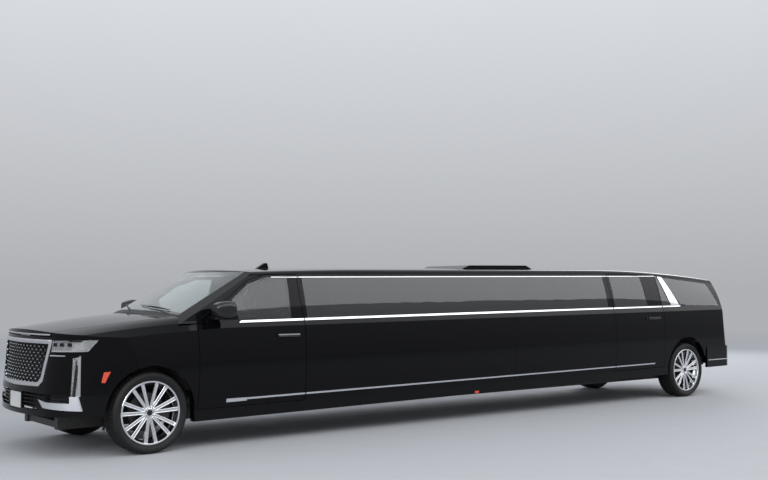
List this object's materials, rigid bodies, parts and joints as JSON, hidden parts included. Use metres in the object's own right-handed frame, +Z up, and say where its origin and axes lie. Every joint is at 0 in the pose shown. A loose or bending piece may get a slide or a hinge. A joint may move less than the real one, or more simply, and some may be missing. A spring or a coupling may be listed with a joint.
{
  "type": "stretch limousine",
  "caption": "Long black four-door stretch limousine on an SUV chassis, with rolling and steering wheels, hinged doors, hood and tailgate.",
  "frame": {"origin": "on the ground under the middle of the car's length and width", "axes": "+X forward, +Y to the car's left, +Z up"},
  "size_m": [11.355, 2.4714, 1.9981],
  "materials": {
    "body_paint": "gloss black lacquer",
    "glass_dark": "dark tinted safety glass",
    "glass_clear": "laminated windscreen glass",
    "chrome_trim": "polished bright trim",
    "wheel_alloy": "polished light alloy",
    "tyre_rubber": "moulded rubber",
    "dark_plastic": "grained black plastic",
    "grille_black": "gloss black moulding",
    "lamp_clear": "clear lamp lens",
    "lamp_red": "red lamp lens",
    "lamp_amber": "amber lens",
    "chassis_black": "satin chassis paint",
    "cast_metal": "bare cast metal",
    "exhaust_steel": "stainless steel",
    "cabin_trim": "soft black cabin trim",
    "seat_leather": "black leather"
  },
  "bodies": {
    "root": {"frame_rails": "chassis_black", "engine_block": "cast_metal", "drive_shaft": "chassis_black", "exhaust_pipe": "exhaust_steel", "fuel_tank": "dark_plastic", "floor_pan": "chassis_black", "firewall": "chassis_black", "cowl_panel": "dark_plastic", "roof_panel": "body_paint", "roof_fittings": "body_paint", "windscreen": "glass_clear", "grille_mesh": "grille_black", "grille_surround": "chrome_trim", "front_bumper": "body_paint", "headlamps": "lamp_clear", "running_lamps": "lamp_clear", "front_fenders": "body_paint", "centre_side_panels": "body_paint", "side_glass": "glass_dark", "quarter_panels": "body_paint", "body_trim": "chrome_trim", "sills": "body_paint", "tail_lamps": "lamp_red", "wheel_liners": "dark_plastic", "side_markers": "lamp_amber", "rear_bumper": "body_paint", "dashboard": "cabin_trim", "steering_wheel": "cabin_trim", "front_seats": "seat_leather", "partition": "cabin_trim", "lounge_seats": "seat_leather", "front_arms": "chassis_black", "rear_axle": "cast_metal"},
    "hood": {"hood": "body_paint"},
    "tailgate": {"tailgate": "body_paint", "tailgate_glass": "glass_dark"},
    "front_door_left": {"front_door_left": "body_paint", "front_door_glass_left": "glass_dark", "front_door_trim_left": "chrome_trim", "mirror_left": "grille_black"},
    "rear_door_left": {"rear_door_left": "body_paint", "rear_door_glass_left": "glass_dark", "rear_door_trim_left": "chrome_trim"},
    "knuckle_left": {"knuckle_left": "cast_metal"},
    "wheel_front_left": {"rim_front_left": "wheel_alloy", "tyre_front_left": "tyre_rubber"},
    "wheel_rear_left": {"rim_rear_left": "wheel_alloy", "tyre_rear_left": "tyre_rubber"},
    "front_door_right": {"front_door_right": "body_paint", "front_door_glass_right": "glass_dark", "front_door_trim_right": "chrome_trim", "mirror_right": "grille_black"},
    "rear_door_right": {"rear_door_right": "body_paint", "rear_door_glass_right": "glass_dark", "rear_door_trim_right": "chrome_trim"},
    "knuckle_right": {"knuckle_right": "cast_metal"},
    "wheel_front_right": {"rim_front_right": "wheel_alloy", "tyre_front_right": "tyre_rubber"},
    "wheel_rear_right": {"rim_rear_right": "wheel_alloy", "tyre_rear_right": "tyre_rubber"}
  },
  "joints": [
    {"name": "steer_left", "type": "hinge", "parent": "root", "child": "knuckle_left", "pos_m": [4.6475, 0.828, 0.412], "axis": [0, 0, 1], "range_deg": [-30, 30]},
    {"name": "front_wheel_left", "type": "hinge", "parent": "knuckle_left", "child": "wheel_front_left", "pos_m": [4.6475, 0.868, 0.412], "axis": [0, 1, 0], "continuous": true},
    {"name": "rear_wheel_left", "type": "hinge", "parent": "root", "child": "wheel_rear_left", "pos_m": [-4.3475, 0.868, 0.412], "axis": [0, 1, 0], "continuous": true},
    {"name": "front_door_left", "type": "hinge", "parent": "root", "child": "front_door_left", "pos_m": [4.0725, 0.985, 0.8], "axis": [0, 0, -1], "range_deg": [0, 65]},
    {"name": "rear_door_left", "type": "hinge", "parent": "root", "child": "rear_door_left", "pos_m": [-2.6775, 0.985, 0.8], "axis": [0, 0, -1], "range_deg": [0, 65]},
    {"name": "steer_right", "type": "hinge", "parent": "root", "child": "knuckle_right", "pos_m": [4.6475, -0.828, 0.412], "axis": [0, 0, 1], "range_deg": [-30, 30]},
    {"name": "front_wheel_right", "type": "hinge", "parent": "knuckle_right", "child": "wheel_front_right", "pos_m": [4.6475, -0.868, 0.412], "axis": [0, 1, 0], "continuous": true},
    {"name": "rear_wheel_right", "type": "hinge", "parent": "root", "child": "wheel_rear_right", "pos_m": [-4.3475, -0.868, 0.412], "axis": [0, 1, 0], "continuous": true},
    {"name": "front_door_right", "type": "hinge", "parent": "root", "child": "front_door_right", "pos_m": [4.0725, -0.985, 0.8], "axis": [0, 0, 1], "range_deg": [0, 65]},
    {"name": "rear_door_right", "type": "hinge", "parent": "root", "child": "rear_door_right", "pos_m": [-2.6775, -0.985, 0.8], "axis": [0, 0, 1], "range_deg": [0, 65]},
    {"name": "hood", "type": "hinge", "parent": "root", "child": "hood", "pos_m": [4.4575, 0, 1.412], "axis": [0, -1, 0], "range_deg": [0, 50]},
    {"name": "tailgate", "type": "hinge", "parent": "root", "child": "tailgate", "pos_m": [-5.1955, 0, 1.868], "axis": [0, 1, 0], "range_deg": [0, 80]}
  ],
  "couplings": [
    {"joint": "steer_right", "follows": "steer_left", "ratio": 1}
  ]
}
